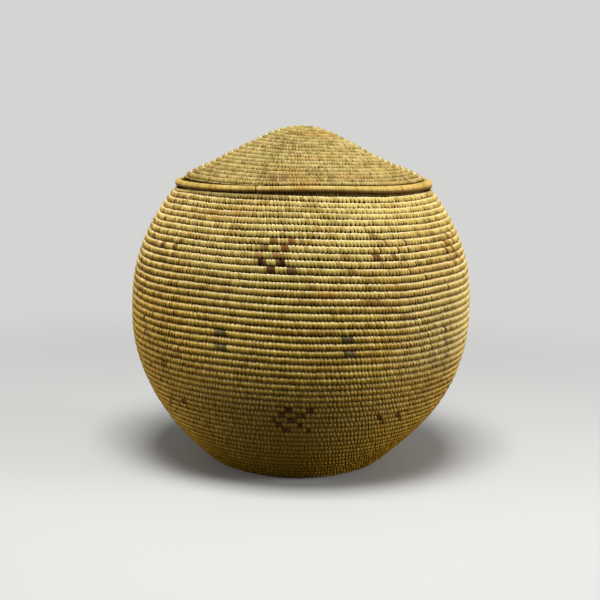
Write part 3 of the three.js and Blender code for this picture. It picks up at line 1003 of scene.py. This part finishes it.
def shaded_and_greasy(board, at, colour, shade):
    """Painted shade, with some grime: the front of each round is darker than its top, and its
    under half more, most low down.
    """
    shade_and_grime = board.ease(at.z, 0.215, 0.115, 0.35, 1.0) * shade
    front = board.ease(at.rise, 0.40, 0.25)
    colour = board.mix(front * shade_and_grime, colour, (0.60, 0.55, 0.27), "MULTIPLY")
    return board.mix(at.under * shade_and_grime, colour, (0.56, 0.50, 0.32), "MULTIPLY")


def shade_and_dirt_between(board, at, groove, slit_top, handled_and_shaded):
    """1 where slits and grooves are darkened: painted shade in these recesses, where dust and
    the dark bundle also show. The slit widens downwards.
    """
    slit_reach = slit_top + (at.low_down * 1.1 + 1) * at.beside * 0.12 + (at.chance_2 - 0.5) * 0.16
    slit_width = board.ease(at.rise, slit_reach, slit_top * 0.2, 0.0, 0.46) + (at.chance - 0.5) * 0.26
    slit_width = slit_width + at.beside * 0.10 + at.low_down * (at.beside * 0.18 - 0.08)
    slit_width = slit_width + board.ease(at.rise, 0.40, 0.48, 0.0, 0.22)
    slit = board.ease(at.from_back + slit_width, 1.0, 1.12)

    low_groove = board.ease(at.rise + (at.chance - 0.5) * 0.03, groove, 0.02)
    low_groove = low_groove.maths("MAXIMUM", board.ease(at.rise, 0.17, 0.10, 0.0, handled_and_shaded * 1.15))
    top_groove = board.ease(at.v, 0.60, 0.68) if handled_and_shaded else board.ease(at.rise, 0.45, 0.50)
    gap_shade_and_dirt = (slit * 0.95).maths("MAXIMUM", low_groove * 0.85)
    gap_shade_and_dirt = gap_shade_and_dirt.maths("MAXIMUM", top_groove * board.ease(at.z, 0.11, 0.15, 0.35, 0.8))
    # Painted shade in the valleys between stitches, more at the sides, and under each round low down.
    valley = board.ease(at.from_back, 0.68, 1.0)
    return gap_shade_and_dirt + valley * (at.beside * 0.45 + 0.3) + at.under * at.low_down * 0.2


# %% Straw
def straw(name, light, deep, roughness=0.6, handled_and_shaded=0.0, groove=0.10, shade=1.0, slit_top=0.28,
          darker_above=0.0):
    """light and deep are two tones of strand. groove is how far the painted shade and dirt come out
    of the lower groove, shade how much painted shade and grime each round has below, slit_top how
    far up its slits reach and darker_above how much darker the upper part is. handled_and_shaded is
    for the lid's edge: how brown its under half is, from handling and from painted shade."""
    board = Board(bpy.data.materials.new(name))
    at = Place(board)
    colour = strand_colour(board, at, light, deep)
    if not handled_and_shaded:
        # Painted light with some wear: the top of each round is paled, as if lit from above.
        worn_and_lit_top = board.ease(at.rise, 0.28, 0.38) * board.ease(at.chance_2, 0.0, 0.8, 0.3, 0.9)
        colour = board.mix(worn_and_lit_top, colour, PALE_TOP)
    colour = tinted(board, at, aged_and_shaded(board, at, colour, darker_above))
    colour = shaded_and_greasy(board, at, colour, shade)
    # Handling and painted shade: the under half of the lid's edge is browned.
    colour = board.mix(board.ease(at.rise, 0.31, 0.19, 0.0, handled_and_shaded), colour, HANDLED_AND_SHADED)
    gap_shade_and_dirt = shade_and_dirt_between(board, at, groove, slit_top, handled_and_shaded)
    board.give("Base Color", board.mix(gap_shade_and_dirt, colour, SHADE_AND_DUST))
    board.give("Roughness", roughness + (at.fibre - 0.5) * 0.25 + gap_shade_and_dirt * 0.35)
    board.give("Specular IOR Level", 0.06)

    fine = board.noise(board.vector(at.part * 26, at.v * 9 + at.chance * 60, 0.0), 1.0)
    bump = {"Strength": 0.5, "Distance": 0.00022, "Height": at.fibre * 0.6 + fine * 0.4}
    board.give("Normal", board.add("ShaderNodeBump", bump, output="Normal"))
    return board.owner


WALL_TONES = (0.82, 0.66, 0.25), (0.42, 0.285, 0.07)
BASE_TONES = (0.50, 0.35, 0.09), (0.30, 0.18, 0.03)
# The lid's tones are greyer than the wall's, and also set darker as painted shade against the stronger
# light on its slope.
LID_TONES = (0.66, 0.52, 0.23), (0.34, 0.25, 0.08)
# The collar's tones are dark brown: straw kept from the light inside, and mostly painted shade for the
# dark gap under the lid's edge, where the collar shows.
COLLAR_TONES = (0.26, 0.17, 0.05), (0.16, 0.09, 0.02)
EDGE_TONES = (0.66, 0.47, 0.15), (0.46, 0.29, 0.065)
body_straw = straw("straw of the body", *WALL_TONES, darker_above=0.10)
base_straw = straw("straw of the base", *BASE_TONES, roughness=0.7)
mouth_straw = straw("straw of the mouth", *WALL_TONES, darker_above=0.10)
# The lid's rounds get more painted shade below them and in their grooves.
lid_straw = straw("straw of the lid", *LID_TONES, groove=0.13, shade=1.3, slit_top=0.22)
collar_straw = straw("straw of the collar", *COLLAR_TONES, roughness=0.75)
edge_straw = straw("straw of the lid's edge", *EDGE_TONES, handled_and_shaded=0.85)
print("six straws, from", len(body_straw.node_tree.nodes), "nodes each")


# %% Dress the pieces
def dress(piece, material, body):
    piece.data.materials.append(material)
    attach(piece, body)


for piece in body_pieces:
    if piece.name == "sewn_base":
        dress(piece, base_straw, "basket")
    elif piece.name == "sewn_mouth":
        dress(piece, mouth_straw, "basket")
    else:
        dress(piece, body_straw, "basket")
for piece in lid_pieces:
    dress(piece, lid_straw, "lid")
dress(collar, collar_straw, "lid")
dress(lid_edge, edge_straw, "lid")

# %% [markdown]
# The floor and the light
#
# The floor is plain and pale, and further out it passes softly into the background. It is pale
# to the lens only and throws back little light, as a dark table would, because the photograph
# shows the foot of the basket in shade. Two large soft lamps stand left and right, a third hangs
# above, and a faint even light fills in.

# %% Floor
BACKGROUND, EVEN_LIGHT = (0.66, 0.66, 0.65), (0.17, 0.17, 0.165)
FLOOR_LIT, FLOOR_SEEN = (0.14, 0.14, 0.14), (0.60, 0.60, 0.59)
FLOOR_RADIUS = 2.5


def floor_finish():
    board = Board(bpy.data.materials.new("pale floor"))
    lens = board.add("ShaderNodeLightPath", output="Is Camera Ray")
    seen = lens.maths("MAXIMUM", board.add("ShaderNodeLightPath", output="Is Glossy Ray"))
    board.give("Base Color", board.mix(seen, FLOOR_LIT, FLOOR_SEEN))
    board.give("Roughness", 0.9)
    board.give("Specular IOR Level", 0.1)
    x, y, _ = board.parts(board.add("ShaderNodeTexCoord", output="Object"))
    far = board.ease((x * x + y * y).maths("SQRT"), 0.18, 0.75) * seen
    glow = board.add("ShaderNodeEmission", {"Color": (*BACKGROUND, 1), "Strength": 1.0})
    lit = Value(board, board.shader.outputs[0])
    blended = board.add("ShaderNodeMixShader", {0: far, 1: lit, 2: glow})
    board.join(blended, board.tree.nodes["Material Output"].inputs["Surface"])
    return board.owner


bpy.ops.mesh.primitive_circle_add(vertices=96, radius=FLOOR_RADIUS, fill_type="NGON")
floor = bpy.context.object
floor.name = "floor"
floor.data.materials.append(floor_finish())
print(f"floor: {2 * FLOOR_RADIUS} m across")


# %% Lamps
def soft_lamp(name, place, aim, size, power):
    bpy.ops.object.light_add(type="AREA", location=place)
    lamp = bpy.context.object
    lamp.name = name
    lamp.data.shape = "RECTANGLE"
    lamp.data.size, lamp.data.size_y = size
    lamp.data.energy = power
    towards = lamp.location - Matrix.Translation(aim).to_translation()
    lamp.rotation_euler = towards.to_track_quat("Z", "Y").to_euler()
    print(f"{name}: {power} W")


soft_lamp("lamp above", (-0.03, -0.50, 1.32), (0, 0, 0.12), (0.6, 0.6), 20.8)
soft_lamp("lamp left", (-1.25, -0.25, 0.21), (0, 0, 0.10), (0.6, 0.4), 6.4)
soft_lamp("lamp right", (1.30, -0.17, 0.22), (0, 0, 0.10), (0.6, 0.4), 16.2)

world = bpy.data.worlds.new("even light")
bpy.context.scene.world = world
air = Board(world, "Background")
air.give("Color", air.mix(air.add("ShaderNodeLightPath", output="Is Camera Ray"), EVEN_LIGHT, BACKGROUND))
